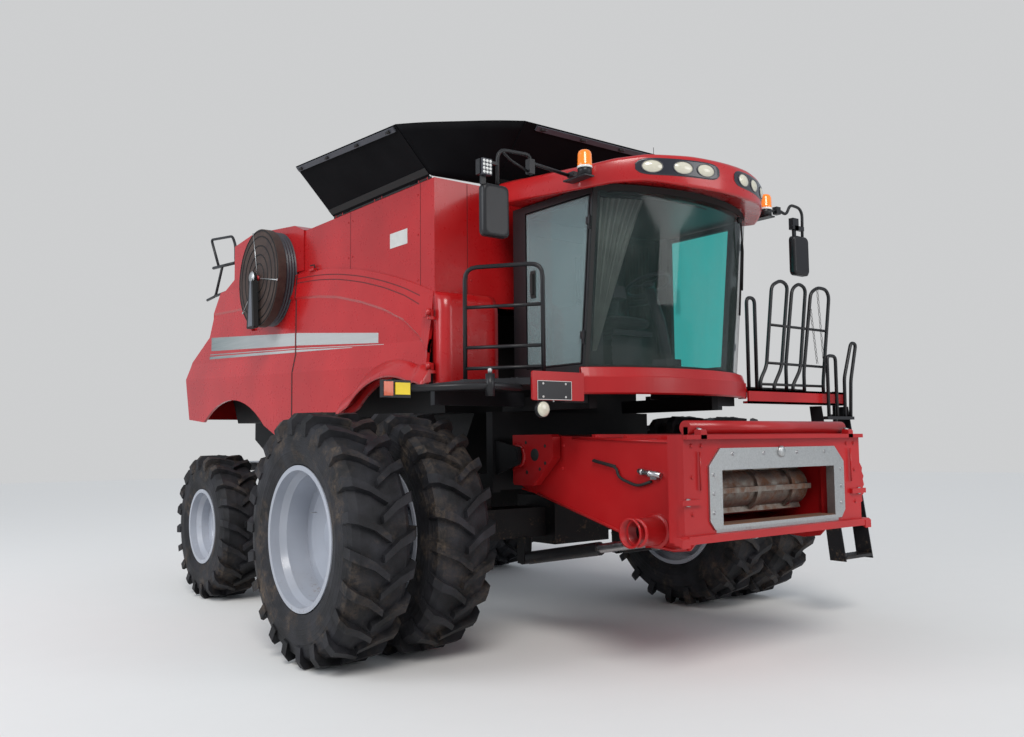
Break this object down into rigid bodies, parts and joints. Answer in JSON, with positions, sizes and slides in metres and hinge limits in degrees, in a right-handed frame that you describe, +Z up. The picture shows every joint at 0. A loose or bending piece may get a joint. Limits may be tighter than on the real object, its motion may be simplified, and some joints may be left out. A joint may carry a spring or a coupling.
{
  "type": "combine harvester",
  "caption": "Combine harvester with twin front wheels, raised feeder house, open grain tank covers and folded unloading tube.",
  "frame": {"origin": "on the floor, under the middle of the whole machine", "axes": "+Z up, forward is -Y, the machine's right side is -X; its length runs along Y"},
  "size_m": [5.4308, 8.8, 4.4471],
  "materials": {
    "red_paint": "weathered gloss red",
    "tyre_rubber": "black rubber with dried mud",
    "rim_paint": "light silver paint",
    "dark_steel": "dark grey paint",
    "black_paint": "satin black",
    "sheet_rubber": "creased black sheet",
    "bright_steel": "plain steel",
    "galvanised": "galvanised grey",
    "window_glass": "green tinted",
    "seat_plastic": "dark plastic and cloth",
    "screen_brown": "perforated sheet, dusty"
  },
  "bodies": {
    "machine": {"chassis": "red_paint", "front_axle": "dark_steel", "rear_axle": "dark_steel", "cab_shell": "black_paint", "cab_roof": "red_paint", "cab_glass": "window_glass", "cab_interior": "seat_plastic", "cab_apron": "red_paint", "grain_tank": "red_paint", "engine_hood": "red_paint", "corner_sheets": "sheet_rubber", "rear_shell": "red_paint", "separator_body": "galvanised", "engine": "dark_steel", "screen_housing": "red_paint", "straw_spreader": "dark_steel", "unload_turret": "red_paint", "platforms": "black_paint", "railings": "black_paint", "mirrors_lamps": "black_paint"},
    "front_wheels_right": {"front_tyres_right": "tyre_rubber", "front_rims_right": "rim_paint"},
    "front_wheels_left": {"front_tyres_left": "tyre_rubber", "front_rims_left": "rim_paint"},
    "knuckle_right": {"knuckle_right": "dark_steel"},
    "knuckle_left": {"knuckle_left": "dark_steel"},
    "tie_rod": {"tie_rod": "dark_steel"},
    "rear_wheel_right": {"rear_tyre_right": "tyre_rubber", "rear_rim_right": "rim_paint"},
    "rear_wheel_left": {"rear_tyre_left": "tyre_rubber", "rear_rim_left": "rim_paint"},
    "feeder": {"feeder_house": "red_paint", "feeder_face": "red_paint", "feeder_chain": "dark_steel"},
    "lift_barrels": {"lift_barrels": "black_paint"},
    "lift_rods": {"lift_rods": "bright_steel"},
    "cab_door": {"cab_door": "black_paint", "cab_door_glass": "window_glass"},
    "exit_door": {"exit_door": "black_paint", "exit_door_glass": "window_glass"},
    "cover_right": {"cover_right": "black_paint"},
    "cover_left": {"cover_left": "black_paint"},
    "cover_front": {"cover_front": "black_paint"},
    "cover_rear": {"cover_rear": "black_paint"},
    "side_door_right": {"side_door_right": "red_paint"},
    "side_door_left": {"side_door_left": "red_paint"},
    "unload_tube": {"unload_tube": "red_paint"},
    "ladder": {"ladder": "black_paint"},
    "air_screen": {"air_screen": "screen_brown"},
    "spreader_disc_right": {"spreader_disc_right": "bright_steel"},
    "spreader_disc_left": {"spreader_disc_left": "bright_steel"}
  },
  "joints": [
    {"name": "front_wheels_right_spin", "type": "hinge", "parent": "machine", "child": "front_wheels_right", "pos_m": [-1.731, -1.9, 0.975], "axis": [1, 0, 0], "continuous": true},
    {"name": "front_wheels_left_spin", "type": "hinge", "parent": "machine", "child": "front_wheels_left", "pos_m": [1.731, -1.9, 0.975], "axis": [1, 0, 0], "continuous": true},
    {"name": "steer_left", "type": "hinge", "parent": "machine", "child": "knuckle_left", "pos_m": [1.5, 1.78, 0.79], "axis": [0, 0, 1], "range_deg": [-30, 30]},
    {"name": "steer_right", "type": "hinge", "parent": "machine", "child": "knuckle_right", "pos_m": [-1.5, 1.78, 0.79], "axis": [0, 0, 1], "range_deg": [-30, 30]},
    {"name": "tie_rod_turn", "type": "hinge", "parent": "knuckle_left", "child": "tie_rod", "pos_m": [1.5, 2.08, 0.65], "axis": [0, 0, 1], "range_deg": [-30, 30]},
    {"name": "rear_wheel_left_spin", "type": "hinge", "parent": "knuckle_left", "child": "rear_wheel_left", "pos_m": [1.912, 1.78, 0.79], "axis": [1, 0, 0], "continuous": true},
    {"name": "rear_wheel_right_spin", "type": "hinge", "parent": "knuckle_right", "child": "rear_wheel_right", "pos_m": [-1.912, 1.78, 0.79], "axis": [1, 0, 0], "continuous": true},
    {"name": "feeder_tilt", "type": "hinge", "parent": "machine", "child": "feeder", "pos_m": [0, -2.35, 1.58], "axis": [1, 0, 0], "range_deg": [-3, 25]},
    {"name": "lift_barrel_tilt", "type": "hinge", "parent": "machine", "child": "lift_barrels", "pos_m": [0, -2.05, 0.66], "axis": [1, 0, 0], "range_deg": [-3, 20]},
    {"name": "lift_rod_slide", "type": "slide", "parent": "lift_barrels", "child": "lift_rods", "axis": [0, -0.985, 0.1724], "range_m": [-0.4, 0.05]},
    {"name": "cab_door_swing", "type": "hinge", "parent": "machine", "child": "cab_door", "pos_m": [0.91, -3.22, 2.3], "axis": [0, 0.0977, -0.9952], "range_deg": [0, 85]},
    {"name": "exit_door_swing", "type": "hinge", "parent": "machine", "child": "exit_door", "pos_m": [-0.91, -3.22, 2.3], "axis": [0, -0.0977, 0.9952], "range_deg": [0, 62]},
    {"name": "cover_right_fold", "type": "hinge", "parent": "machine", "child": "cover_right", "pos_m": [-1.54, -1.14, 3.968], "axis": [0, 1, 0], "range_deg": [0, 130], "deforming": ["corner_sheets"]},
    {"name": "cover_left_fold", "type": "hinge", "parent": "machine", "child": "cover_left", "pos_m": [1.54, -1.14, 3.968], "axis": [0, 1, 0], "range_deg": [-130, 0]},
    {"name": "cover_front_fold", "type": "hinge", "parent": "machine", "child": "cover_front", "pos_m": [0, -2.08, 3.968], "axis": [1, 0, 0], "range_deg": [-130, 0]},
    {"name": "cover_rear_fold", "type": "hinge", "parent": "machine", "child": "cover_rear", "pos_m": [0, -0.2, 3.968], "axis": [1, 0, 0], "range_deg": [0, 130]},
    {"name": "side_door_right_swing", "type": "hinge", "parent": "machine", "child": "side_door_right", "pos_m": [-1.632, -2.122, 2.5], "axis": [0, 0, 1], "range_deg": [0, 80]},
    {"name": "side_door_left_swing", "type": "hinge", "parent": "machine", "child": "side_door_left", "pos_m": [1.632, -2.122, 2.5], "axis": [0, 0, -1], "range_deg": [0, 80]},
    {"name": "unload_swing", "type": "hinge", "parent": "machine", "child": "unload_tube", "pos_m": [1.79, -1.64, 3.6], "axis": [0, 0, 1], "range_deg": [-100, 0]},
    {"name": "ladder_swing", "type": "hinge", "parent": "machine", "child": "ladder", "pos_m": [2.6, -3.15, 1.9], "axis": [0, 0, 1], "range_deg": [0, 90]},
    {"name": "air_screen_spin", "type": "hinge", "parent": "machine", "child": "air_screen", "pos_m": [-1.77, 1.12, 3.52], "axis": [1, 0, 0], "continuous": true},
    {"name": "spreader_right_spin", "type": "hinge", "parent": "machine", "child": "spreader_disc_right", "pos_m": [-0.52, 3.45, 1.48], "axis": [0, 0, 1], "continuous": true},
    {"name": "spreader_left_spin", "type": "hinge", "parent": "machine", "child": "spreader_disc_left", "pos_m": [0.52, 3.45, 1.48], "axis": [0, 0, 1], "continuous": true}
  ],
  "couplings": [
    {"joint": "steer_right", "follows": "steer_left", "ratio": 1},
    {"joint": "tie_rod_turn", "follows": "steer_left", "ratio": -1},
    {"joint": "lift_barrel_tilt", "follows": "feeder_tilt", "ratio": 0.791},
    {"joint": "lift_rod_slide", "follows": "feeder_tilt", "m_per_rad": -0.9135},
    {"joint": "cover_left_fold", "follows": "cover_right_fold", "ratio": -1},
    {"joint": "cover_front_fold", "follows": "cover_right_fold", "ratio": -1},
    {"joint": "cover_rear_fold", "follows": "cover_right_fold", "ratio": 1}
  ]
}
